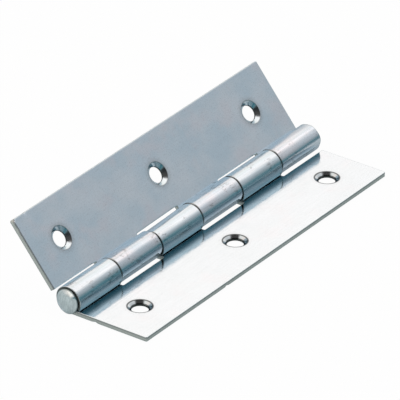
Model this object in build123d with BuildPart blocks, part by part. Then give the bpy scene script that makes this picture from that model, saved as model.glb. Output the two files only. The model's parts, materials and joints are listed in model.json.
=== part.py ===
# Butt hinge of bright zinc-plated sheet steel: two alike leaves whose eyes are rolled round
# one headed pin. One leaf lies flat, back face down, and the other stands open above it.
# Millimetres, +Z up, X along the pin with its head at -X. The origin is the centre of the flat
# leaf's middle screw hole, on the leaf's back face.

import os
from math import asin, degrees

from build123d import *

# Sheet and leaves
hinge_length = 100.0  # over the knuckles, along the pin
leaf_width = 23.0  # from the pin's axis to the free edge
sheet = 1.25  # thickness of the steel
corner_radius = 0.4  # the two free corners of a leaf
opening_angle = 129.5  # between the leaves as they stand, 0 when the hinge is shut

# Rolled knuckles
knuckle_count = 6  # of both leaves together
knuckle_gap = 0.2  # between neighbours, along the pin
notch_clearance = 0.5  # from the barrel to the edge of the notch that it turns in
notch_radius = 0.3  # inner corners of a notch
seam_gap = 0.15  # from the end of the roll to the face of its own leaf

# Pin
pin_diameter = 4.5
pin_clearance = 0.05  # radial, from the pin to the rolled eye
tail_chamfer = 0.4
head_diameter = 6.2
head_rim = 0.3  # straight edge of the head, under its dome
head_rise = 0.9  # height of the dome above the rim
head_gap = 0.15  # from the head to the first knuckle

# Countersunk screw holes, one row in each leaf
hole_count = 3
hole_diameter = 4.2
sink_diameter = 6.1
sink_angle = 100.0
hole_end_margin = 11.0  # from the leaf's ends to the first and last hole
hole_edge_margin = 9.95  # from the free edge to the row

# Worked out from the sizes above
eye_radius = pin_diameter / 2 + pin_clearance
barrel_radius = eye_radius + sheet
knuckle_pitch = hinge_length / knuckle_count
half_length = hinge_length / 2
hole_offset = leaf_width - hole_edge_margin
hole_pitch = (hinge_length - 2 * hole_end_margin) / (hole_count - 1)
notch_edge = barrel_radius + notch_clearance
cut_margin = sheet  # how far a cut runs past what it cuts

# The pin's axis, seen from the origin
pin_axis = Axis((0, hole_offset, barrel_radius), (1, 0, 0))

# The roll runs on until its outer corner is a seam's width above its own leaf.
roll_end = 180 + degrees(asin((eye_radius - seam_gap) / barrel_radius))
roll_start = -90
roll_arc = roll_end - roll_start

# A leaf lies flat in its own frame: the pin along X through the origin, the back face down,
# the free edge towards -Y, and its first knuckle at the -X end.
leaf_end = Plane.YZ.offset(-half_length)

with BuildPart() as leaf:
    # The sheet's section, flat from the free edge and then rolled into an eye, nearly closed
    with BuildSketch(leaf_end) as section:
        with BuildLine() as outline:
            back = Line((-leaf_width, -barrel_radius), (0, -barrel_radius))
            outside = CenterArc((0, 0), barrel_radius, roll_start, roll_arc)
            inside = CenterArc((0, 0), eye_radius, roll_start, roll_arc)
            Line(outside @ 1, inside @ 1)
            face = Line(inside @ 0, (-leaf_width, -eye_radius))
            Line(face @ 1, back @ 0)
        make_face()
    extrude(amount=hinge_length)

    # Rounded free corners
    free_edge = leaf.faces().sort_by(Axis.Y)[0]
    fillet(free_edge.edges().filter_by(Axis.Z), corner_radius)

    # Every second knuckle is cut away for the other leaf, the last one out through the end.
    with BuildSketch(Plane.XY.offset(-barrel_radius - cut_margin)) as notches:
        for place in range(1, knuckle_count, 2):
            start = place * knuckle_pitch - half_length - knuckle_gap / 2
            width = knuckle_pitch + knuckle_gap
            if place == knuckle_count - 1:
                width += cut_margin
            with Locations((start, -notch_edge)):
                Rectangle(
                    width,
                    notch_edge + barrel_radius + cut_margin,
                    align=(Align.MIN, Align.MIN),
                )
        fillet(notches.vertices().group_by(Axis.Y)[0], notch_radius)
    extrude(amount=2 * (barrel_radius + cut_margin), mode=Mode.SUBTRACT)

    # Screw holes, sunk from the face that the other leaf shuts against
    with Locations((0, -hole_offset, -eye_radius)):
        with GridLocations(hole_pitch, 0, hole_count, 1):
            CounterSinkHole(
                hole_diameter / 2,
                sink_diameter / 2,
                counter_sink_angle=sink_angle,
            )

# The second leaf is the first turned end for end, then folded up from flat about the pin.
flat_place = Plane(origin=pin_axis.position)
open_place = flat_place.rotated((0, 0, 180)).rotated((180 - opening_angle, 0, 0))

with BuildPart(flat_place) as fixed_leaf:
    add(leaf.part)

with BuildPart(open_place) as swing_leaf:
    add(leaf.part)

# The pin is one upset piece of wire: a low domed head, and a chamfered tail that ends
# flush with the last knuckle.
pin_plane = Plane(origin=pin_axis.position, x_dir=(1, 0, 0), z_dir=(0, -1, 0))
head_seat = -half_length - head_gap
rim_face = head_seat - head_rim
pin_radius = pin_diameter / 2
head_radius = head_diameter / 2

with BuildPart() as pin:
    with BuildSketch(pin_plane) as half_section:
        with BuildLine() as half_outline:
            top = (rim_face - head_rise, 0)
            dome = TangentArc(top, (rim_face, head_radius), tangent=(0, 1))
            Polyline(
                dome @ 1,
                (head_seat, head_radius),
                (head_seat, pin_radius),
                (half_length - tail_chamfer, pin_radius),
                (half_length, pin_radius - tail_chamfer),
                (half_length, 0),
                top,
            )
        make_face()
    revolve(axis=pin_axis)

fixed_leaf.part.label = "fixed_leaf"
swing_leaf.part.label = "swing_leaf"
pin.part.label = "pin"

os.makedirs("parts", exist_ok=True)
export_step(fixed_leaf.part, "parts/fixed_leaf.step")
export_step(swing_leaf.part, "parts/swing_leaf.step")
export_step(pin.part, "parts/pin.step")
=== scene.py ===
"""Looks of a bright zinc-plated butt hinge: two rolled leaves on a domed pin, in a plain studio.

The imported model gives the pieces, their bodies and the joint. Each piece is made again here at the
same size, with what the metal shows close up: arrises rounded by the shears, knuckles that aren't
quite round, small nicks, and a mottled plating. Metres, +Z up, X along the pin.
"""

import json
import logging
import math
from collections.abc import Iterable, Sequence
from dataclasses import dataclass, field, replace
from enum import Enum
from functools import partial, reduce
from itertools import repeat

import bmesh
import bpy
from bmesh.types import BMVert
from bpy.types import Material, NodeSocket, Object
from mathutils import Matrix, Vector, geometry, noise


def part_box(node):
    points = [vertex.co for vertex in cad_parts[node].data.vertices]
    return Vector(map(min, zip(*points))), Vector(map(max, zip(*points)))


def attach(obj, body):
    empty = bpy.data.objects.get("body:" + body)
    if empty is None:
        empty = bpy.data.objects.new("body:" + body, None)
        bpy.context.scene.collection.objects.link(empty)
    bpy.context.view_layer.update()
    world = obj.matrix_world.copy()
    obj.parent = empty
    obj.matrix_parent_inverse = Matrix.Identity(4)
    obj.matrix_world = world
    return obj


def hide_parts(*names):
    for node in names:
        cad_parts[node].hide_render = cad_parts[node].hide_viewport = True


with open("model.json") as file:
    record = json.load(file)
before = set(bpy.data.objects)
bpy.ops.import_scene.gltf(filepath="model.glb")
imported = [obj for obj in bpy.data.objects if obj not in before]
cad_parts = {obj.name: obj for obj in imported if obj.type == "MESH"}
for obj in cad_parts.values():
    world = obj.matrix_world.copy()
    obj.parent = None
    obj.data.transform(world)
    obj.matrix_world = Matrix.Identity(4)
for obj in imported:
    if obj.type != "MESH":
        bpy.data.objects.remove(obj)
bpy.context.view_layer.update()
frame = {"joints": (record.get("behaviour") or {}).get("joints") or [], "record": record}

MM = 0.001
INSIDE_BORDERS = 1  # the triangulation that fills only what its borders enclose
Colour = tuple[float, float, float]
Way = tuple[float, float, float]
Span = tuple[float, float]
Feed = float | Colour | NodeSocket

log = logging.getLogger("hinge")


class Node(Enum):
    """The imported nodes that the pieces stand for."""

    FIXED_LEAF = "fixed_leaf"
    SWING_LEAF = "swing_leaf"
    PIN = "pin"


class Body(Enum):
    """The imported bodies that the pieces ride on."""

    FIXED = "fixed"
    SWING = "swing"


class Slot(Enum):
    """The record's material slots."""

    LEAF = "leaf_zinc"
    PIN = "pin_zinc"


class Face(Enum):
    """Which finish a face takes, as its place in the piece's list of materials."""

    PLATED = 0
    SHEARED = 1


def round_corners(pairs: Sequence[Sequence[float]], radii: list[float], steps: int) -> list[Vector]:
    """Rounds the inner corners of an open outline in a plane.

    Args:
        pairs: The outline's corners, from its first end to its last.
        radii: The radius at each inner corner, 0 for a sharp one.
        steps: Pieces that each arc is made of.

    Returns:
        The outline's points with an arc in place of each rounded corner.
    """
    points = [Vector(pair) for pair in pairs]
    rounded = [points[0]]
    for before, corner, after, radius in zip(points, points[1:], points[2:], radii):
        if radius == 0:
            rounded.append(corner)
            continue
        towards = (before - corner).normalized()
        away = (after - corner).normalized()
        half_angle = math.acos(max(-1.0, min(1.0, towards.dot(away)))) / 2
        centre = corner + (towards + away).normalized() * radius / math.sin(half_angle)
        start = corner + towards * radius / math.tan(half_angle) - centre
        end = corner + away * radius / math.tan(half_angle) - centre
        turn = math.atan2(start.x * end.y - start.y * end.x, start.dot(end))
        rounded += [centre + Matrix.Rotation(turn * step / steps, 2) @ start for step in range(steps + 1)]
    return rounded + [points[-1]]


@dataclass(frozen=True)
class Wiring:
    """Adds nodes to a tree and joins them."""

    tree: bpy.types.NodeTree

    def add(self, kind: str, feeds: dict[str | int, Feed], **settings: str) -> bpy.types.Node:
        """Adds a node.

        Args:
            kind: The node's type.
            feeds: What goes into its inputs, each a plain value or another node's output.
            settings: The node's own options.

        Returns:
            The node.
        """
        node = self.tree.nodes.new(kind)
        for name, value in settings.items():
            setattr(node, name, value)
        for name, feed in feeds.items():
            if isinstance(feed, NodeSocket):
                self.tree.links.new(feed, node.inputs[name])
            else:
                node.inputs[name].default_value = feed
        return node

    def attribute(self, name: str, output: str) -> NodeSocket:
        """Returns one of the mesh's own attributes."""
        return self.add("ShaderNodeAttribute", {}, attribute_name=name).outputs[output]

    def maths(self, operation: str, *feeds: Feed) -> NodeSocket:
        """Returns a sum, a product or an angle of its feeds."""
        return self.add("ShaderNodeMath", dict(enumerate(feeds)), operation=operation).outputs["Value"]

    def product(self, *feeds: Feed) -> NodeSocket:
        """Returns the product of its feeds."""
        return reduce(partial(self.maths, "MULTIPLY"), feeds)

    def vector(self, operation: str, *feeds: Feed, output: str = "Vector") -> NodeSocket:
        """Returns a sum or a product of vectors."""
        return self.add("ShaderNodeVectorMath", dict(enumerate(feeds)), operation=operation).outputs[output]

    def remap(self, value: Feed, span: Span, result: Span = (0, 1)) -> NodeSocket:
        """Returns what eases from the result's first end to its second as a value crosses a span."""
        feeds = dict(enumerate((value, *span, *result)))
        return self.add("ShaderNodeMapRange", feeds, interpolation_type="SMOOTHSTEP").outputs["Result"]

    def noise(self, place: NodeSocket, size: float, detail: float) -> NodeSocket:
        """Returns a noise with features of a size, in metres, and some finer layers."""
        feeds = {"Vector": place, "Scale": 1 / size, "Detail": detail}
        return self.add("ShaderNodeTexNoise", feeds).outputs["Fac"]

    def tint(self, share: Feed, first: Feed, second: Colour) -> NodeSocket:
        """Returns the first colour with a share of the second in its place."""
        feeds = {"Factor": share, "A": first, "B": (*second, 1)}
        return self.add("ShaderNodeMix", feeds, data_type="RGBA").outputs["Result"]

    def shade(self, colour: Feed, value: Feed, span: Span, share: float, second: Colour) -> NodeSocket:
        """Returns a colour under a second one that grows to its share as a value crosses a span."""
        return self.tint(self.remap(value, span, (0, share)), colour, second)

    def bump(self, height: Feed, depth: float, **below: NodeSocket) -> NodeSocket:
        """Returns a surface with a bump of a full depth, in metres, over any other that it lies on."""
        return self.add("ShaderNodeBump", {"Height": height, "Distance": depth, **below}).outputs["Normal"]


# The room's light along one line beside the hinge, by its angle up from level behind it
ROOM: dict[float, Colour] = {
    -180: (0.0, 0.16, 0.21),
    -170: (0.29, 0.3, 0.31),
    -10: (0.29, 0.3, 0.31),
    0: (0.82, 0.79, 0.79),
    45: (1.96, 1.57, 1.43),
    65: (1.75, 1.54, 1.43),
    90: (1.93, 1.64, 1.57),
    108: (2.11, 1.75, 1.64),
    120: (1.46, 1.29, 1.25),
    135: (0.86, 0.82, 0.84),
    150: (0.57, 0.56, 0.57),
    165: (0.21, 0.36, 0.4),
    180: (0.0, 0.16, 0.21),
}


@dataclass(frozen=True)
class Studio:
    """A pale floor in a soft white tent: bright over and behind the hinge, dim on the camera's side.

    The tent has a small dark opening high up, which the holes' sunk walls mirror. The floor that the
    metal mirrors is dim in front of the hinge.
    """

    lights: dict[float, Colour]

    # The dark opening: the way to it, where it is darkest and where it ends, and its light
    opening_way: Way = (-0.45, -0.42, 0.79)
    opening_core: float = math.radians(28)
    opening_edge: float = math.radians(45)
    opening_light: float = 0.05

    # The floor: its paint, its glow to the eye and in the metal, and its dim front in the metal
    floor_size: float = 6.0
    floor_drop: float = 0.02 * MM
    floor_colour: Colour = (0.66, 0.73, 0.76)
    glow_seen: float = 0.97
    glow_mirrored: float = 0.45
    front_start: Span = (-13 * MM, -24 * MM)
    front_colour: Colour = (0.21, 0.32, 0.37)
    front_mirrored: float = 0.9

    def make_room(self) -> None:
        """Lights the scene by direction, the same all along the hinge, with white behind it all."""
        world = bpy.data.worlds.new("studio_room")
        world.use_nodes = True
        bpy.context.scene.world = world
        world.node_tree.nodes.clear()
        wiring = Wiring(world.node_tree)
        way = wiring.add("ShaderNodeTexCoord", {}).outputs["Generated"]
        parts = wiring.add("ShaderNodeSeparateXYZ", {0: way}).outputs
        angle = wiring.maths("ARCTAN2", parts["Z"], parts["Y"])
        turns = wiring.maths("MULTIPLY_ADD", angle, 1 / math.tau, 0.5)
        ramp = wiring.add("ShaderNodeValToRGB", {"Fac": turns})
        brightest = max(max(colour) for colour in self.lights.values())
        stops = ramp.color_ramp.elements
        while len(stops) < len(self.lights):
            stops.new(0.5)
        for stop, (degrees, colour) in zip(stops, self.lights.items()):
            stop.position = (degrees + 180) / 360
            stop.color = (*(part / brightest for part in colour), 1)
        towards = wiring.vector("DOT_PRODUCT", way, self.opening_way, output="Value")
        span = (math.cos(self.opening_edge), math.cos(self.opening_core))
        strength = wiring.remap(towards, span, (brightest, brightest * self.opening_light))
        room = wiring.add("ShaderNodeBackground", {"Color": ramp.outputs["Color"], "Strength": strength})
        backdrop = wiring.add("ShaderNodeBackground", {"Color": (1, 1, 1, 1)})
        rays = wiring.add("ShaderNodeLightPath", {}).outputs
        sides = {"Fac": rays["Is Camera Ray"], 1: room.outputs[0], 2: backdrop.outputs[0]}
        choice = wiring.add("ShaderNodeMixShader", sides)
        wiring.add("ShaderNodeOutputWorld", {"Surface": choice.outputs["Shader"]})

    def make_floor(self) -> None:
        """Lays the pale floor that the flat leaf lies on."""
        mesh = bpy.data.meshes.new("floor")
        half = self.floor_size / 2
        corners = [(-half, -half), (half, -half), (half, half), (-half, half)]
        mesh.from_pydata([(x, y, -self.floor_drop) for x, y in corners], [], [(0, 1, 2, 3)])
        mesh.materials.append(self.floor_material())
        floor = bpy.data.objects.new("floor", mesh)
        bpy.context.scene.collection.objects.link(floor)

    def floor_material(self) -> Material:
        """Makes the floor's paint: matt, and near white to the camera and in the metal.

        Returns:
            A matt material that keeps part of its shadow under a white glow. In the metal its front
            half is as dim as the room on that side.
        """
        material = bpy.data.materials.new("floor_white")
        material.use_nodes = True
        material.node_tree.nodes.clear()
        wiring = Wiring(material.node_tree)
        paint = wiring.add("ShaderNodeBsdfDiffuse", {"Color": (*self.floor_colour, 1)})
        rays = wiring.add("ShaderNodeLightPath", {}).outputs
        place = wiring.add("ShaderNodeTexCoord", {}).outputs["Object"]
        across = wiring.add("ShaderNodeSeparateXYZ", {0: place}).outputs["Y"]
        front = wiring.remap(across, self.front_start)
        dimmed = wiring.product(front, rays["Is Glossy Ray"])
        glow_colour = wiring.tint(dimmed, (1, 1, 1, 1), self.front_colour)
        glow = wiring.add("ShaderNodeEmission", {"Color": glow_colour})
        seen = wiring.product(rays["Is Camera Ray"], self.glow_seen)
        rise = self.front_mirrored - self.glow_mirrored
        mirrored = wiring.maths("MULTIPLY_ADD", front, rise, self.glow_mirrored)
        share = wiring.maths("MULTIPLY_ADD", rays["Is Glossy Ray"], mirrored, seen)
        mix = wiring.add("ShaderNodeMixShader", {"Fac": share, 1: paint.outputs[0], 2: glow.outputs[0]})
        wiring.add("ShaderNodeOutputMaterial", {"Surface": mix.outputs["Shader"]})
        return material


@dataclass(frozen=True)
class PhotoCamera:
    """The photograph's camera, aimed from the middle of the barrel."""

    azimuth: float = math.radians(-54.537)
    elevation: float = math.radians(29.26)
    roll: float = math.radians(0.468)
    distance: float = 1.4943
    lens_mm: float = 554.2
    aim_right: float = 2.0625 * MM
    aim_up: float = 4.0138 * MM

    def make(self, barrel_centre: Vector) -> None:
        """Puts the camera in the scene.

        Args:
            barrel_centre: The point halfway along the pin.
        """
        level = math.cos(self.elevation)
        side, front = math.sin(self.azimuth) * level, math.cos(self.azimuth) * level
        back = Vector((side, -front, math.sin(self.elevation)))
        right = Vector((0, 0, 1)).cross(back).normalized()
        upright = Matrix((right, back.cross(right), back)).transposed()
        turned = upright @ Matrix.Rotation(self.roll, 3, "Z")
        aim = barrel_centre + turned @ Vector((self.aim_right, self.aim_up, 0))
        data = bpy.data.cameras.new("camera")
        data.lens = self.lens_mm
        camera = bpy.data.objects.new("camera", data)
        camera.matrix_world = Matrix.LocRotScale(aim + back * self.distance, turned, None)
        bpy.context.scene.collection.objects.link(camera)
        bpy.context.scene.camera = camera


@dataclass(frozen=True)
class ZincFinish:
    """Bright zinc plate: a metal whose colour, gloss and surface vary a little from place to place.

    A span runs from where a second colour starts to where it has its full share: in a noise, at a
    place on the blank or at a distance from a hole's centre. Details are a noise's finer layers.
    """

    name: str
    colour: Colour
    cloud_colour: Colour
    warm_colour: Colour
    speck_colour: Colour
    wear_and_rim_shade_colour: Colour
    shade_and_scuff_colour: Colour
    roughness: float
    rolled_roughness: float
    edge_tint: Colour = (0.56, 0.64, 0.7)
    roughness_spread: float = 0.04
    seed: float = 0.0

    # All over: clouds, warm patches, specks, waves and brushing
    fine_detail: float = 4
    plain_detail: float = 3
    soft_detail: float = 2
    usual_span: Span = (0.3, 0.7)
    cloud_size: float = 14 * MM
    patch_size: float = 11 * MM
    patch_span: Span = (0.48, 0.72)
    patch_share: float = 0.8
    grain_size: float = 0.45 * MM
    speck_span: Span = (0.5, 0.75)
    grain_share: float = 0.22
    grain_depth: float = 0.004 * MM
    wave_size: float = 6 * MM
    wave_depth: float = 0.04 * MM
    streak_way: Way = (0.04, 1, 1)
    streak_width: float = 0.4 * MM
    streak_share: float = 0.45
    streak_depth: float = 0.008 * MM
    streak_flat: float = 0.25

    # Round the screw holes: a halo of specks, and painted shade on the sunk wall, its rim and throat
    halo: Span = (4.6 * MM, 3.2 * MM)
    halo_share: float = 0.6
    sunk: Span = (3.25 * MM, 3.0 * MM)
    sunk_shade_share: float = 0.75
    throat: Span = (2.42 * MM, 2.28 * MM)
    throat_shade_share: float = 0.0
    rim_rise: Span = (2.88 * MM, 2.98 * MM)
    rim_fall: Span = (3.3 * MM, 3.18 * MM)
    hole_shade_colour: Colour = (0.03, 0.036, 0.036)
    rim_shade_share: float = 0.0

    # The shears' burr, a darker band at the blank's end, the rolls' scuffs, and painted shade on their
    # walls, tips and joints
    burr: Span = (0.7 * MM, 0.85 * MM)
    burr_share: float = 0.0
    end_darkening: Span = (49.58 * MM, 49.72 * MM)
    end_share: float = 0.0
    roll_start: Span = (-0.5 * MM, 2.5 * MM)
    rolled_shade_share: float = 0.0
    scuff_size: float = 3.5 * MM
    scuff_span: Span = (0.56, 0.64)
    scuff_share: float = 0.45
    fleck_way: Way = (0.35, 1, 1)
    fleck_span: Span = (0.5, 0.62)
    tip: Span = (13.7 * MM, 14.8 * MM)
    tip_shade_colour: Colour = (0.18, 0.295, 0.345)
    tip_shade_share: float = 0.0
    joint_start: Span = (-49.9 * MM, -49.7 * MM)
    joint_shade_share: float = 0.8

    def material(self) -> Material:
        """Makes the finish's material.

        Returns:
            A metal with clouds, warm patches and grain, brushed and scuffed along the rolled knuckles,
            specked round the screw holes and worn at the arrises, with painted shade in the holes, at the
            rolls' tips, walls and joints, and at the pin head's rim.
        """
        material = bpy.data.materials.new(self.name)
        material.use_nodes = True
        wiring = Wiring(material.node_tree)
        blank = wiring.attribute("blank", "Vector")
        place = wiring.vector("ADD", blank, (self.seed, self.seed, self.seed))
        drawn = wiring.vector("MULTIPLY", place, self.streak_way)
        parts = wiring.add("ShaderNodeSeparateXYZ", {0: blank}).outputs
        rolled = wiring.remap(parts["Y"], self.roll_start, (self.streak_flat, 1))
        grain = wiring.noise(place, self.grain_size, self.fine_detail)
        streaks = wiring.noise(drawn, self.streak_width, self.plain_detail)
        brushed = wiring.product(streaks, rolled)

        shader = material.node_tree.nodes["Principled BSDF"]
        shader.inputs["Metallic"].default_value = 1.0
        shader.inputs["Specular Tint"].default_value = (*self.edge_tint, 1)
        colour = self.marks(wiring, self.plating(wiring, place, grain, brushed), place, parts)
        wiring.tree.links.new(colour, shader.inputs["Base Color"])

        spread = wiring.remap(streaks, self.usual_span, (-self.roughness_spread, self.roughness_spread))
        gloss = wiring.remap(parts["Y"], self.roll_start, (self.roughness, self.rolled_roughness))
        wiring.tree.links.new(wiring.maths("ADD", gloss, spread), shader.inputs["Roughness"])

        waves = wiring.bump(wiring.noise(place, self.wave_size, self.soft_detail), self.wave_depth)
        grained = wiring.bump(grain, self.grain_depth, Normal=waves)
        surface = wiring.bump(brushed, self.streak_depth, Normal=grained)
        wiring.tree.links.new(surface, shader.inputs["Normal"])
        return material

    def plating(
        self, wiring: Wiring, place: NodeSocket, grain: NodeSocket, brushed: NodeSocket
    ) -> NodeSocket:
        """Mixes the plating's colour.

        Args:
            wiring: The material's nodes.
            place: The place on the blank, moved by the seed.
            grain: The fine noise.
            brushed: The brushing's noise.

        Returns:
            The colour, worn at the arrises, specked round the screw holes and with painted shade in them;
            on the pin's head the arrises take painted shade at its rim.
        """
        clouds = wiring.noise(place, self.cloud_size, self.plain_detail)
        colour = wiring.shade((*self.colour, 1), clouds, self.usual_span, 1, self.cloud_colour)
        patches = wiring.noise(place, self.patch_size, self.plain_detail)
        colour = wiring.shade(colour, patches, self.patch_span, self.patch_share, self.warm_colour)
        colour = wiring.shade(colour, grain, self.speck_span, self.grain_share, self.speck_colour)
        colour = wiring.tint(wiring.product(brushed, self.streak_share), colour, self.speck_colour)
        distance = wiring.attribute("hole_distance", "Fac")
        near = wiring.remap(distance, self.halo, (0, self.halo_share))
        colour = wiring.tint(wiring.product(near, grain), colour, self.speck_colour)
        # Wear at the arrises; on the pin's head this colour is painted shade at its rim
        colour = wiring.tint(wiring.attribute("arris", "Fac"), colour, self.wear_and_rim_shade_colour)
        # Painted shade on the holes' sunk walls and throats, and in a thin ring at each lip
        colour = wiring.shade(colour, distance, self.sunk, self.sunk_shade_share, self.shade_and_scuff_colour)
        colour = wiring.shade(colour, distance, self.throat, self.throat_shade_share, self.hole_shade_colour)
        rim = wiring.remap(distance, self.rim_fall, (0, self.rim_shade_share))
        rim = wiring.product(rim, wiring.remap(distance, self.rim_rise))
        return wiring.tint(rim, colour, self.hole_shade_colour)

    def marks(
        self, wiring: Wiring, colour: NodeSocket, place: NodeSocket, parts: bpy.types.bpy_prop_collection
    ) -> NodeSocket:
        """Adds the shears' burr, a darker end, the rolls' scuffs, and painted shade on their walls, tips
        and joints.

        Args:
            wiring: The material's nodes.
            colour: The plating's colour.
            place: The place on the blank, moved by the seed.
            parts: The place along, across and above the blank.

        Returns:
            The colour with the marks and the painted shade.
        """
        along, across = parts["X"], parts["Y"]
        colour = wiring.shade(colour, parts["Z"], self.burr, self.burr_share, self.speck_colour)
        # A darker band at the blank's end
        colour = wiring.shade(colour, along, self.end_darkening, self.end_share, self.shade_and_scuff_colour)
        # Painted shade where the rolls' tips turn down to the leaf
        colour = wiring.shade(colour, across, self.tip, self.tip_shade_share, self.tip_shade_colour)
        on_roll = wiring.remap(across, self.roll_start)
        scuffs = wiring.noise(place, self.scuff_size, self.soft_detail)
        scuffs = wiring.remap(scuffs, self.scuff_span, (0, self.scuff_share))
        drawn = wiring.vector("MULTIPLY", place, self.fleck_way)
        flecks = wiring.noise(drawn, self.grain_size, self.soft_detail)
        flecks = wiring.product(wiring.remap(flecks, self.fleck_span), scuffs, on_roll)
        colour = wiring.tint(flecks, colour, self.shade_and_scuff_colour)
        # Painted shade on the rolls' sheared walls, and along their arrises at the joints between knuckles
        colour = wiring.tint(wiring.product(on_roll, self.rolled_shade_share), colour, self.shade_and_scuff_colour)
        joints = wiring.product(on_roll, self.joint_shade_share, wiring.attribute("arris", "Fac"))
        joints = wiring.product(joints, wiring.remap(along, self.joint_start))
        return wiring.tint(joints, colour, self.shade_and_scuff_colour)


@dataclass(frozen=True)
class Nick:
    """A small dent in an edge of the blank, given in the blank's own frame."""

    place: Vector
    push: Vector
    radius: float

    def moved(self, point: Vector) -> Vector:
        """Returns where the nick leaves a point of the blank."""
        reach = (point - self.place).length / self.radius
        return point + self.push * max(0.0, 1 - reach * reach) ** 2


@dataclass(frozen=True)
class WallLevel:
    """One line along a sheared wall: how far inside the outline, how high, and how worn."""

    inset: float
    height: float
    wear: float


@dataclass(frozen=True)
class Arris:
    """How the press leaves the two edges of a wall: drawn in and rounder on the back."""

    face_radius: float = 0.08 * MM
    back_radius: float = 0.21 * MM
    margin: float = 0.18 * MM
    steps: int = 4

    def levels(self, sheet: float) -> list[WallLevel]:
        """Works out the lines that a wall is made of.

        Args:
            sheet: The sheet's thickness.

        Returns:
            The levels from the back face, over the wall, to the front face.
        """
        reach = self.back_radius + self.margin
        corners = [(reach, 0), (0, 0), (0, sheet), (reach, sheet)]
        line = round_corners(corners, [self.back_radius, self.face_radius], self.steps)
        ends = (0, len(line) - 1)
        return [WallLevel(point.x, point.y, float(place not in ends)) for place, point in enumerate(line)]


@dataclass(frozen=True)
class OutlinePoint:
    """A point of the blank's outline and the way inwards from it, longer at a corner."""

    place: Vector
    inward: Vector
    wall: bool


@dataclass(frozen=True)
class Corner:
    """A corner of the blank's outline, and whether the side after it is a knuckle's root."""

    x: float
    y: float
    radius: float = 0.0
    root_next: bool = False


@dataclass
class Piece:
    """A piece of the hinge: the node that it stands for, its body and slot, and where it goes."""

    node: Node
    body: Body
    slot: Slot
    placement: Matrix

    def __post_init__(self) -> None:
        """Starts the mesh, with room for what the finishes read at each vertex."""
        self.mesh = bmesh.new()
        layers = self.mesh.verts.layers
        layers.float.new("arris")
        layers.float.new("hole_distance")
        layers.float_vector.new("blank")

    def add_row(self, points: Iterable[Sequence[float]], wears: Iterable[float]) -> list[BMVert]:
        """Adds a row of vertices.

        Args:
            points: Their places.
            wears: How worn each one is, from 0 to 1; on the pin's head, how much painted shade its rim
                takes.

        Returns:
            The vertices.
        """
        layer = self.mesh.verts.layers.float["arris"]
        row = [self.mesh.verts.new(point) for point in points]
        for vertex, wear in zip(row, wears):
            vertex[layer] = wear
        return row

    def add_strip(self, near: list[BMVert], far: list[BMVert], finishes: Iterable[Face | None]) -> None:
        """Joins two rows, each closed into a loop, with a strip of faces.

        Args:
            near: The first row.
            far: The second row.
            finishes: The finish of the face at each step, or None to leave that face out.
        """
        for step, finish in enumerate(finishes):
            if finish is not None:
                after = (step + 1) % len(near)
                face = self.mesh.faces.new((near[step], near[after], far[after], far[step]))
                face.material_index = finish.value

    def note(self, vertex: BMVert, distance: float) -> None:
        """Notes a vertex's place on the blank and its distance from the nearest hole's centre."""
        vertex[self.mesh.verts.layers.float_vector["blank"]] = vertex.co
        vertex[self.mesh.verts.layers.float["hole_distance"]] = distance

    def shape(self) -> None:
        """Builds the mesh, in the piece's own frame."""
        raise NotImplementedError

    def make(self, finishes: list[Material]) -> Object:
        """Builds and dresses the piece.

        Args:
            finishes: Its materials, in the order of Face.

        Returns:
            Its object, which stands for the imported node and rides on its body.
        """
        self.shape()
        bmesh.ops.recalc_face_normals(self.mesh, faces=self.mesh.faces)
        self.mesh.transform(self.placement)
        name = f"{self.node.value}_piece"
        data = bpy.data.meshes.new(name)
        self.mesh.to_mesh(data)
        self.mesh.free()
        data.shade_smooth()
        for finish in finishes:
            data.materials.append(finish)
        piece = bpy.data.objects.new(name, data)
        bpy.context.scene.collection.objects.link(piece)
        piece.modifiers.new("weighted_normals", "WEIGHTED_NORMAL").keep_sharp = True
        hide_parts(self.node.value)
        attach(piece, self.body.value)
        return piece


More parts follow.
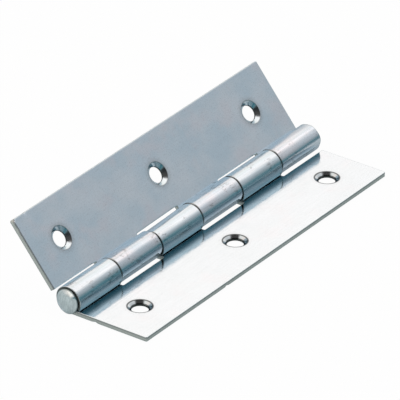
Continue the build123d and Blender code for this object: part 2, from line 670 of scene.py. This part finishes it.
@dataclass
class Leaf(Piece):
    """One leaf: a sheared blank with three tabs rolled into knuckles, and three sunk holes.

    It is made in its own frame, with the pin along X through the origin, the leaf towards -Y and its
    back face down, and then placed.
    """

    length: float
    width: float
    barrel_radius: float
    hole_pitch: float
    hole_radius: float
    hole_offset: float
    nicks: list[Nick] = field(default_factory=list)
    seed: float = 0.0

    # The sheared blank
    sheet: float = 1.25 * MM
    corner_radius: float = 0.4 * MM
    knuckle_count: int = 6
    knuckle_gap: float = 0.2 * MM
    notch_clearances: tuple[Span, ...] = ((0.5 * MM, 0.5 * MM),) * 3
    notch_radius: float = 0.3 * MM
    notch_lean: float = 0.0
    arris: Arris = field(default_factory=Arris)

    # The sunk holes
    hole_count: int = 3
    sink_radius: float = 3.05 * MM
    sink_angle: float = math.radians(100)
    lip_radius: float = 0.12 * MM
    throat_radius: float = 0.08 * MM
    land_steepness: float = 0.8

    # The rolls, how far their ends stand open, and the angle at which that starts
    seam_gap: float = 0.15 * MM
    curl_lift: float = 0.0
    lift_start: float = math.radians(225)

    # How far from round the knuckles are: waves, lumps, the roll's ridges, and crowns that sag
    out_of_round: float = 0.016 * MM
    wave_counts: tuple[int, int] = (3, 7)
    second_wave: float = 0.6
    wave_turn: float = 2.3
    lump_size: float = 6 * MM
    lumps_round: float = 2
    ridge: float = 0.0
    ridge_count: int = 6
    ridge_turn: float = math.radians(212.5)
    ridge_start: float = math.radians(47.5)
    sags: dict[int, Span] = field(default_factory=dict)
    sag_turn: float = math.radians(148)
    sag_power: int = 6

    # How fine the mesh is
    edge_step: float = 0.35 * MM
    face_step: float = 1.5 * MM
    corner_steps: int = 6
    roll_step: float = math.radians(2.4)
    ring_steps: int = 96
    weld: float = 0.0001 * MM

    def __post_init__(self) -> None:
        """Works out the sizes that follow from the others, and starts the mesh."""
        super().__post_init__()
        self.eye_radius = self.barrel_radius - self.sheet
        self.notch_edges = [
            (self.barrel_radius + start, self.barrel_radius + end) for start, end in self.notch_clearances
        ]
        self.pitch = self.length / self.knuckle_count
        half, gap = self.length / 2, self.knuckle_gap / 2
        self.tabs = [
            (place * self.pitch - half + (gap if place else 0), (place + 1) * self.pitch - half - gap)
            for place in range(0, self.knuckle_count, 2)
        ]
        tip_radius = self.barrel_radius + self.curl_lift
        self.roll_angle = 1.5 * math.pi + math.asin((self.eye_radius - self.seam_gap) / tip_radius)
        self.roll_radius = self.eye_radius + self.sheet / 2
        self.roll_length = self.roll_angle * self.roll_radius
        self.levels = self.arris.levels(self.sheet)
        places = [place - (self.hole_count - 1) / 2 for place in range(self.hole_count)]
        self.hole_centres = [Vector((place * self.hole_pitch, -self.hole_offset)) for place in places]
        self.border = self.outline()

    def corners(self) -> list[Corner]:
        """Works out the corners of the blank up to the knuckles' roots.

        Returns:
            The corners, anticlockwise from the free edge's start.
        """
        half = self.length / 2
        outline = [
            Corner(-half, -self.width, self.corner_radius),
            Corner(half, -self.width, self.corner_radius),
            Corner(half, -self.notch_edges[-1][1]),
        ]
        for place, (start, end) in reversed(list(enumerate(self.tabs))):
            outline.append(Corner(end, -self.notch_edges[place][0], self.notch_radius))
            outline += [Corner(end, 0, root_next=True), Corner(start, 0)]
            if place:
                outline.append(Corner(start, -self.notch_edges[place - 1][1], self.notch_radius))
        return outline

    def outline(self) -> list[OutlinePoint]:
        """Works out the blank's outline.

        Returns:
            The points in order, each with the way inwards and whether the side after it is a wall.
        """
        corners = self.corners()
        points: list[OutlinePoint] = []
        for place, corner in enumerate(corners):
            before, after = corners[place - 1], corners[(place + 1) % len(corners)]
            here = Vector((corner.x, corner.y))
            arriving = (here - Vector((before.x, before.y))).normalized()
            leaving = (Vector((after.x, after.y)) - here).normalized()
            turn = math.atan2(arriving.x * leaving.y - arriving.y * leaving.x, arriving.dot(leaving))
            normal = Vector((-arriving.y, arriving.x))
            if corner.radius:
                run = corner.radius * math.tan(abs(turn) / 2)
                side = math.copysign(corner.radius, turn)
                centre = here - arriving * run + normal * side
                for step in range(self.corner_steps + 1):
                    inward = Matrix.Rotation(turn * step / self.corner_steps, 2) @ normal
                    points.append(OutlinePoint(centre - inward * side, inward, True))
            else:
                first = Vector((0, 0)) if before.root_next else normal
                second = Vector((0, 0)) if corner.root_next else Vector((-leaving.y, leaving.x))
                points.append(OutlinePoint(here, first + second, not corner.root_next))
        return self.divided(points)

    def divided(self, points: list[OutlinePoint]) -> list[OutlinePoint]:
        """Divides the outline's long sides.

        Args:
            points: The outline's corners and arcs.

        Returns:
            The same outline with no side much longer than edge_step.
        """
        fine: list[OutlinePoint] = []
        for start, end in zip(points, points[1:] + points[:1]):
            fine.append(start)
            side = end.place - start.place
            count = round(side.length / self.edge_step)
            normal = Vector((-side.y, side.x)).normalized() if start.wall else Vector((0, 0))
            for step in range(1, count):
                fine.append(OutlinePoint(start.place + side * step / count, normal, start.wall))
        return fine

    def hole_line(self) -> list[Vector]:
        """Works out a sunk hole's section.

        Returns:
            Pairs of radius and height, from the front face to the back.
        """
        land = self.sheet - (self.sink_radius - self.hole_radius) / math.tan(self.sink_angle / 2)
        reach = self.arris.margin
        corners = [
            (self.sink_radius + reach, self.sheet),
            (self.sink_radius, self.sheet),
            (self.hole_radius, land),
            (self.hole_radius, 0),
            (self.hole_radius + reach, 0),
        ]
        radii = [self.lip_radius, self.throat_radius, self.arris.face_radius]
        return round_corners(corners, radii, self.arris.steps)

    def ring(self, centre: Vector, radius: float) -> list[Vector]:
        """Returns the points of a ring round a hole's centre."""
        turns = [math.tau * step / self.ring_steps for step in range(self.ring_steps)]
        return [centre + Vector((math.cos(turn), math.sin(turn))) * radius for turn in turns]

    def add_face(self, border: list[Vector], hole_radius: float, height: float) -> None:
        """Fills the blank's front or back face.

        Args:
            border: The face's outer border.
            hole_radius: The radius at which the holes' rings begin.
            height: The face's height above the back face.
        """
        points: list[Vector] = []
        edges: list[tuple[int, int]] = []
        for loop in [border, *(self.ring(centre, hole_radius) for centre in self.hole_centres)]:
            first, count = len(points), len(loop)
            points += loop
            edges += [(first + step, first + (step + 1) % count) for step in range(count)]
        points += self.inner_points(hole_radius)
        made, _, triangles, *_ = geometry.delaunay_2d_cdt(points, edges, [], INSIDE_BORDERS, self.weld)
        vertices = self.add_row([(*place, height) for place in made], repeat(0.0))
        for triangle in triangles:
            middle = sum((made[corner] for corner in triangle), Vector((0, 0))) / 3
            if all((middle - centre).length > hole_radius for centre in self.hole_centres):
                turned = triangle if height > 0 else reversed(triangle)
                self.mesh.faces.new([vertices[corner] for corner in turned])

    def inner_points(self, hole_radius: float) -> list[Vector]:
        """Works out a grid of points within a face.

        Args:
            hole_radius: The radius at which the holes' rings begin.

        Returns:
            The points, clear of the face's border and of the holes.
        """
        clear = self.face_step
        run = self.length - 2 * clear
        depth = self.width - max(max(pair) for pair in self.notch_edges) - 2 * clear
        columns, rows = int(run / clear), int(depth / clear)
        xs = [clear - self.length / 2 + run * column / columns for column in range(columns + 1)]
        ys = [clear - self.width + depth * row / rows for row in range(rows + 1)]
        room = hole_radius + clear / 2
        grid = [Vector((x, y)) for x in xs for y in ys]
        return [point for point in grid if all((point - hole).length > room for hole in self.hole_centres)]

    def level_line(self, level: WallLevel) -> list[Vector]:
        """Works out one line along the blank's walls.

        Args:
            level: The line's inset and height.

        Returns:
            The line's points. A notch's wall leans back below its front edge.
        """
        lean = self.notch_lean * (1 - level.height / self.sheet)
        return [
            point.place + point.inward * level.inset - Vector((0, lean * max(0.0, -point.inward.y)))
            for point in self.border
        ]

    def add_walls(self) -> None:
        """Adds the sheared walls round the blank, with their rounded arrises."""
        rows = []
        for level in self.levels:
            points = [(*point, level.height) for point in self.level_line(level)]
            rows.append(self.add_row(points, repeat(level.wear)))
        heights = [level.height for level in self.levels]
        for lower, upper, start, end in zip(rows, rows[1:], heights, heights[1:]):
            finish = self.strip_face(end - start)
            self.add_strip(lower, upper, [finish if point.wall else None for point in self.border])

    def strip_face(self, rise: float) -> Face:
        """Returns the finish of a wall's strip by its rise: it is sheared between the arrises."""
        return Face.SHEARED if abs(rise) > self.sheet / 2 else Face.PLATED

    def add_holes(self) -> None:
        """Adds the cones and walls of the sunk holes."""
        line = self.hole_line()
        for centre in self.hole_centres:
            rows = []
            for place, section in enumerate(line):
                points = [(*point, section.y) for point in self.ring(centre, section.x)]
                rows.append(self.add_row(points, repeat(float(0 < place < len(line) - 1))))
            for upper, lower, start, end in zip(rows, rows[1:], line, line[1:]):
                side = start - end
                land = side.y > self.land_steepness * side.length
                self.add_strip(upper, lower, repeat(Face.SHEARED if land else Face.PLATED, self.ring_steps))

    def tab_section(self, start: float, end: float) -> list[tuple[float, float, float]]:
        """Works out a knuckle tab's section, anticlockwise seen from the leaf.

        Args:
            start: The tab's near end, along the pin.
            end: Its far end.

        Returns:
            Each point's place along the pin, its height and how worn it is.
        """
        count = round((end - start) / self.edge_step)
        between = [start + (end - start) * step / count for step in range(1, count)]
        reach = self.levels[0].inset
        between = [place for place in between if start + reach < place < end - reach]
        right = [(end - level.inset, level.height, level.wear) for level in self.levels]
        left = [(start + level.inset, level.height, level.wear) for level in reversed(self.levels)]
        back = [(place, 0.0, 0.0) for place in between]
        front = [(place, self.sheet, 0.0) for place in reversed(between)]
        return back + right + front + left

    def add_tab(self, start: float, end: float) -> None:
        """Adds a tab beyond its root, flat: it is rolled afterwards.

        Args:
            start: The tab's near end, along the pin.
            end: Its far end.
        """
        section = self.tab_section(start, end)
        soft = self.arris.back_radius
        count = math.ceil(self.roll_angle / self.roll_step)
        lines = [((self.roll_length - soft) * step / count, 0.0) for step in range(count + 1)]
        for step in range(1, self.arris.steps + 1):
            turn = math.pi / 2 * step / self.arris.steps
            lines.append((self.roll_length - soft + soft * math.sin(turn), soft * (1 - math.cos(turn))))
        rows = []
        for across, inset in lines:
            xs = [min(max(x, start + inset), end - inset) for x, *_ in section]
            heights = [min(max(height, inset), self.sheet - inset) for _, height, _ in section]
            wears = [1.0 if inset else worn for *_, worn in section]
            rows.append(self.add_row(zip(xs, repeat(across), heights), wears))
        rises = [after[1] - point[1] for point, after in zip(section, section[1:] + section[:1])]
        for near, far in zip(rows, rows[1:]):
            self.add_strip(near, far, [self.strip_face(rise) for rise in rises])
        self.mesh.faces.new(rows[-1]).material_index = Face.SHEARED.value

    def rolled(self, point: Vector) -> Vector:
        """Rolls a point of the blank round the pin.

        Args:
            point: Its place along the pin, across the blank and above the back face.

        Returns:
            Its place in the leaf's own frame.
        """
        if point.y <= 0:
            return Vector((point.x, point.y, point.z - self.barrel_radius))
        turn = point.y / self.roll_radius
        depth = point.z / self.sheet
        along = (point.x + self.length / 2) / self.pitch
        knuckle = round(along - 0.5)
        easing = min(1.0, turn / math.pi) ** 2 * (1 - depth)
        first, second = self.wave_counts
        wave = math.sin(first * turn + knuckle)
        wave += self.second_wave * math.sin(second * turn + self.wave_turn * knuckle)
        lump = noise.noise(Vector((point.x / self.lump_size, self.lumps_round * turn, self.seed + knuckle)))
        opened = max(0.0, (turn - self.lift_start) / (self.roll_angle - self.lift_start))
        radius = self.barrel_radius - point.z + self.out_of_round * easing * (wave + lump)
        radius += self.curl_lift * opened * opened
        crown = max(0.0, math.cos(turn - self.sag_turn)) ** self.sag_power
        near, far = self.sags.get(knuckle, (0.0, 0.0))
        radius -= (near + (far - near) * (along - knuckle)) * (1 - depth) * crown
        if turn > self.ridge_start:
            radius += self.ridge * (1 - depth) * math.cos(self.ridge_count * (turn - self.ridge_turn))
        return Vector((point.x, radius * math.sin(turn), -radius * math.cos(turn)))

    def shape(self) -> None:
        """Builds the flat blank, marks it and rolls its tabs."""
        first, last = self.levels[0], self.levels[-1]
        section = self.hole_line()
        self.add_face(self.level_line(first), section[-1].x, first.height)
        self.add_face(self.level_line(last), section[0].x, last.height)
        self.add_walls()
        self.add_holes()
        for start, end in self.tabs:
            self.add_tab(start, end)
        bmesh.ops.remove_doubles(self.mesh, verts=self.mesh.verts, dist=self.weld)
        for vertex in self.mesh.verts:
            place = vertex.co.copy()
            self.note(vertex, min((place.xy - centre).length for centre in self.hole_centres))
            for nick in self.nicks:
                place = nick.moved(place)
            vertex.co = self.rolled(place)


@dataclass
class Pin(Piece):
    """The pin: a length of wire with a low domed head upset at one end."""

    length: float
    head_radius: float
    head_end: float
    radius: float = 2.25 * MM
    head_gap: float = 0.15 * MM
    head_rim: float = 0.3 * MM
    tail_chamfer: float = 0.4 * MM
    soft_edge: float = 0.08 * MM
    soft_steps: int = 4
    head_drop: float = 0.24 * MM
    head_stretch: float = 1.06
    dome_steps: int = 24
    ring_steps: int = 96
    hammered: float = 0.022 * MM
    hammer_size: float = 1.1 * MM
    # How far out the head takes painted shade at its rim, as a share of its radius
    shaded_rim_share: float = 0.93

    def section(self) -> list[Vector]:
        """Works out the pin's section.

        Returns:
            Pairs of the place along the pin and the radius, from the dome's top to the tail.
        """
        seat = -self.length / 2 - self.head_gap
        rim = seat - self.head_rim
        rise = rim - self.head_end
        dome_radius = (rise * rise + self.head_radius * self.head_radius) / (2 * rise)
        reach = math.asin(self.head_radius / dome_radius)
        turns = [reach * step / self.dome_steps for step in range(self.dome_steps)]
        dome = [
            (self.head_end + dome_radius * (1 - math.cos(turn)), dome_radius * math.sin(turn))
            for turn in turns
        ]
        tail = self.length / 2
        rest = [
            dome[-1],
            (rim, self.head_radius),
            (seat, self.head_radius),
            (seat, self.radius),
            (tail - self.tail_chamfer, self.radius),
            (tail, self.radius - self.tail_chamfer),
            (tail, 0),
        ]
        soft = self.soft_edge
        rounded = round_corners(rest, [soft, soft, 0, soft, soft], self.soft_steps)
        return [Vector(pair) for pair in dome[:-1]] + rounded

    def shape(self) -> None:
        """Turns the pin's section round its axis and strikes the head."""
        line = self.section()
        rings = []
        for section in line[1:-1]:
            points = [self.struck(section, step) for step in range(self.ring_steps)]
            # The head's outer rings take the finish's dark edge colour: painted shade at its rim
            worn = section.y > self.shaded_rim_share * self.head_radius
            rings.append(self.add_row(points, repeat(float(worn))))
        head, tail = self.add_row([self.struck(line[0], 0), (line[-1].x, 0, 0)], repeat(0.0))
        for near, far in zip(rings, rings[1:]):
            self.add_strip(near, far, repeat(Face.PLATED, self.ring_steps))
        for step in range(self.ring_steps):
            after = (step + 1) % self.ring_steps
            self.mesh.faces.new((head, rings[0][after], rings[0][step]))
            self.mesh.faces.new((tail, rings[-1][step], rings[-1][after]))
        # The pin has no hole, so its metal is as far from one as the pin is long.
        for vertex in self.mesh.verts:
            self.note(vertex, self.length)

    def struck(self, section: Vector, step: int) -> Vector:
        """Works out a point round the pin: its head was struck a little oval and low.

        Args:
            section: The place along the pin and the radius.
            step: Which point round the ring.

        Returns:
            The point.
        """
        turn = math.tau * step / self.ring_steps
        point = Vector((section.x, section.y * math.cos(turn), section.y * math.sin(turn)))
        seat = -self.length / 2 - self.head_gap
        if section.x <= seat:
            point.z = point.z * self.head_stretch - self.head_drop
        if section.x < seat - self.head_rim:
            point.x += self.hammered * (noise.noise(point / self.hammer_size) + 1) / 2
        return point


@dataclass(frozen=True)
class HingeFrame:
    """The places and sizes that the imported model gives, the leaf's by the names of its fields."""

    pin_centre: Vector
    swing_lift: float
    head_radius: float
    head_end: float
    leaf: dict[str, float]

    @classmethod
    def read(cls) -> "HingeFrame":
        """Reads the frame.

        Returns:
            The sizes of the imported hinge, in metres, and the raised leaf's lift from flat.
        """
        mounts = {mount["name"]: mount for mount in frame["record"]["mounts"]}
        low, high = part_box(Node.FIXED_LEAF.value)
        pin_low, pin_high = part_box(Node.PIN.value)
        centre = Vector(frame["joints"][0]["pos_m"])
        screws = mounts["fixed_screws_outer"]
        outward = mounts["swing_leaf_back"]["axis"]
        leaf = {
            "length": high.x - low.x,
            "width": centre.y - low.y,
            "barrel_radius": centre.z,
            "hole_pitch": screws["dims"]["spacing_x_mm"] * MM / 2,
            "hole_radius": screws["dims"]["hole_r_mm"] * MM,
            "hole_offset": centre.y - screws["pos_m"][1],
        }
        return cls(
            pin_centre=centre,
            swing_lift=math.atan2(outward[1], -outward[2]),
            head_radius=(pin_high.z - pin_low.z) / 2,
            head_end=pin_low.x,
            leaf=leaf,
        )


# The raised leaf's plate: a ring of painted shade at each hole's lip, and a darker band at its end
RAISED_ZINC = ZincFinish(
    name="bright_zinc_raised",
    colour=(0.475, 0.605, 0.685),
    cloud_colour=(0.555, 0.65, 0.71),
    warm_colour=(0.575, 0.615, 0.665),
    speck_colour=(0.28, 0.31, 0.315),
    wear_and_rim_shade_colour=(0.5, 0.6, 0.64),
    shade_and_scuff_colour=(0.15, 0.17, 0.17),
    roughness=0.18,
    rolled_roughness=0.24,
    sunk_shade_share=0.0,
    rim_shade_share=0.35,
    end_share=0.7,
    cloud_size=9 * MM,
    patch_size=7 * MM,
    patch_share=0.6,
    streak_flat=0.12,
    seed=5.0,
)
# The flat leaf's plate: painted shade on the sunk walls, in the throats, at the lips and at the rolls' tips
FLAT_ZINC = replace(
    RAISED_ZINC,
    name="bright_zinc_flat",
    colour=(0.525, 0.647, 0.703),
    cloud_colour=(0.535, 0.657, 0.717),
    roughness=0.13,
    patch_share=0.2,
    grain_share=0.1,
    streak_flat=0.1,
    halo_share=0.2,
    sunk_shade_share=0.3,
    throat_shade_share=0.9,
    rim_fall=(3.38 * MM, 3.24 * MM),
    rim_shade_share=0.8,
    end_share=0.0,
    tip_shade_share=1.0,
    seed=0.0,
)
# The sheared walls: painted shade on the holes' lands and on the rolls' walls
FLAT_SHEARED = ZincFinish(
    name="sheared_zinc_flat",
    colour=(0.53, 0.6, 0.59),
    cloud_colour=(0.57, 0.64, 0.63),
    warm_colour=(0.48, 0.49, 0.45),
    speck_colour=(0.13, 0.155, 0.17),
    wear_and_rim_shade_colour=(0.42, 0.48, 0.46),
    shade_and_scuff_colour=(0.03, 0.042, 0.042),
    roughness=0.5,
    rolled_roughness=0.5,
    grain_depth=0.012 * MM,
    sunk_shade_share=0.95,
    burr_share=0.5,
    rolled_shade_share=0.8,
)
RAISED_SHEARED = replace(
    FLAT_SHEARED,
    name="sheared_zinc_raised",
    colour=(0.5, 0.58, 0.62),
    cloud_colour=(0.56, 0.64, 0.68),
    warm_colour=(0.52, 0.55, 0.55),
    burr=(0.9 * MM, 1.05 * MM),
)
PIN_ZINC = ZincFinish(
    name="pin_zinc",
    colour=(0.62, 0.75, 0.78),
    cloud_colour=(0.7, 0.83, 0.85),
    warm_colour=(0.68, 0.76, 0.76),
    speck_colour=(0.13, 0.18, 0.19),
    # The dark edge colour is painted shade at the head's rim
    wear_and_rim_shade_colour=(0.2, 0.26, 0.27),
    shade_and_scuff_colour=(0.28, 0.35, 0.35),
    roughness=0.15,
    rolled_roughness=0.15,
    edge_tint=(0.9, 0.95, 1.0),
    streak_way=(1, 1, 0.1),
    streak_width=0.28 * MM,
    streak_share=0.8,
    streak_depth=0.02 * MM,
    streak_flat=1.0,
    scuff_share=0.0,
    seed=3.0,
)


# The flat leaf's rolls stand open a little at their ends, and its middle one is lower at the crown.
FLAT_CURL_LIFT = 0.4 * MM
FLAT_SAGS = {2: (0.6 * MM, 0.08 * MM)}

# The press drew the flat leaf's back edge in less than the raised one's.
FLAT_ARRIS = Arris(back_radius=0.1 * MM)

# The raised leaf's notches are closer than the solid's, and lean back to clear the flat leaf when
# it is folded right back. Its knuckles show the roll's steps.
RAISED_NOTCHES = ((0.17 * MM, 0.17 * MM), (0.45 * MM, 0.25 * MM), (0.17 * MM, 0.17 * MM))
RAISED_LEAN = 0.08 * MM
RAISED_RIDGE = 0.055 * MM

# Small dents along the edges, by the place on the blank, the push and the reach
FLAT_NICKS = [
    Nick(Vector((-50, -7.9, 0)) * MM, Vector((0.16, 0, 0.12)) * MM, 0.9 * MM),
    Nick(Vector((22.4, -23, 0.7)) * MM, Vector((0, 0.14, 0)) * MM, 0.8 * MM),
    Nick(Vector((-17.4, -23, 0)) * MM, Vector((0, 0.12, 0.14)) * MM, 0.8 * MM),
]
RAISED_NICKS = [
    Nick(Vector((50, -23, 1.25)) * MM, Vector((-0.2, 0.24, -0.15)) * MM, 0.9 * MM),
    Nick(Vector((50, -20.4, 0.9)) * MM, Vector((-0.2, 0, 0)) * MM, 0.8 * MM),
    Nick(Vector((45.5, -23, 1.25)) * MM, Vector((0, 0.1, -0.06)) * MM, 0.6 * MM),
]


def main() -> None:
    """Builds the hinge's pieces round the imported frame, then the studio."""
    logging.basicConfig(level=logging.INFO, format="%(message)s")
    bpy.context.scene.view_settings.view_transform = "Standard"
    sizes = HingeFrame.read()
    flat = Matrix.Translation(sizes.pin_centre)
    open_turn = Matrix.Rotation(sizes.swing_lift, 4, "X") @ Matrix.Rotation(math.pi, 4, "Z")
    flat_leaf = Leaf(
        Node.FIXED_LEAF,
        Body.FIXED,
        Slot.LEAF,
        flat,
        **sizes.leaf,
        nicks=FLAT_NICKS,
        arris=FLAT_ARRIS,
        curl_lift=FLAT_CURL_LIFT,
        sags=FLAT_SAGS,
    )
    raised_leaf = Leaf(
        Node.SWING_LEAF,
        Body.SWING,
        Slot.LEAF,
        flat @ open_turn,
        **sizes.leaf,
        nicks=RAISED_NICKS,
        notch_clearances=RAISED_NOTCHES,
        notch_lean=RAISED_LEAN,
        ridge=RAISED_RIDGE,
        seed=5.0,
    )
    length = sizes.leaf["length"]
    pin = Pin(Node.PIN, Body.FIXED, Slot.PIN, flat, length, sizes.head_radius, sizes.head_end)
    finishes = ((FLAT_ZINC, FLAT_SHEARED), (RAISED_ZINC, RAISED_SHEARED), (PIN_ZINC,))
    for piece, zincs in zip((flat_leaf, raised_leaf, pin), finishes):
        made = piece.make([zinc.material() for zinc in zincs])
        log.info("%s rides on %s with %d faces", made.name, piece.body.value, len(made.data.polygons))
    studio = Studio(ROOM)
    studio.make_room()
    studio.make_floor()
    PhotoCamera().make(sizes.pin_centre)


if __name__ == "__main__":
    main()
